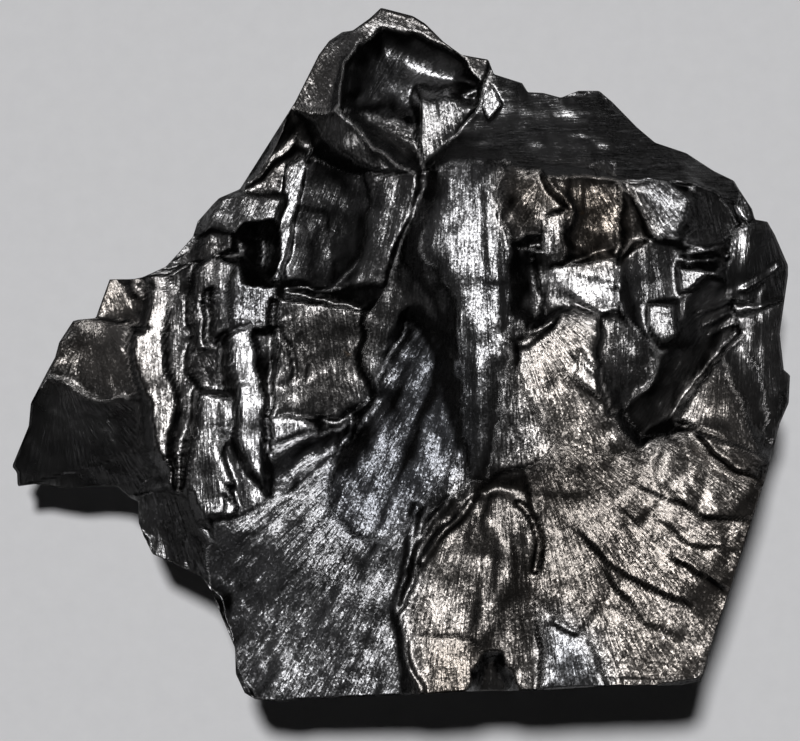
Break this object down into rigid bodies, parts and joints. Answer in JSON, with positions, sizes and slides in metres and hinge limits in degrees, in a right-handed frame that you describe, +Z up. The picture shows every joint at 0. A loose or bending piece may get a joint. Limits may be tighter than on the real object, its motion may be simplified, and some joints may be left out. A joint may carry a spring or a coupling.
{
  "type": "coal lump",
  "caption": "Lump of anthracite coal, jet black with a sub-metallic shine, broken into conchoidal scoops, striated ribs and sharp edges; rests on a flat split.",
  "frame": {"origin": "on the resting face, below the middle of the lump's bounding box", "axes": "+X along the long side of the broken upper face, towards the straight flank; +Y towards the rounded lobe at the top of that face; +Z up, away from the split the lump rests on"},
  "size_m": [0.113, 0.0992, 0.0456],
  "materials": {
    "anthracite": "shiny sub-metallic black fracture faces with fine striations, brownish and bluish tints and a few rusty stains"
  },
  "bodies": {
    "root": {"coal_lump": "anthracite"}
  },
  "joints": []
}
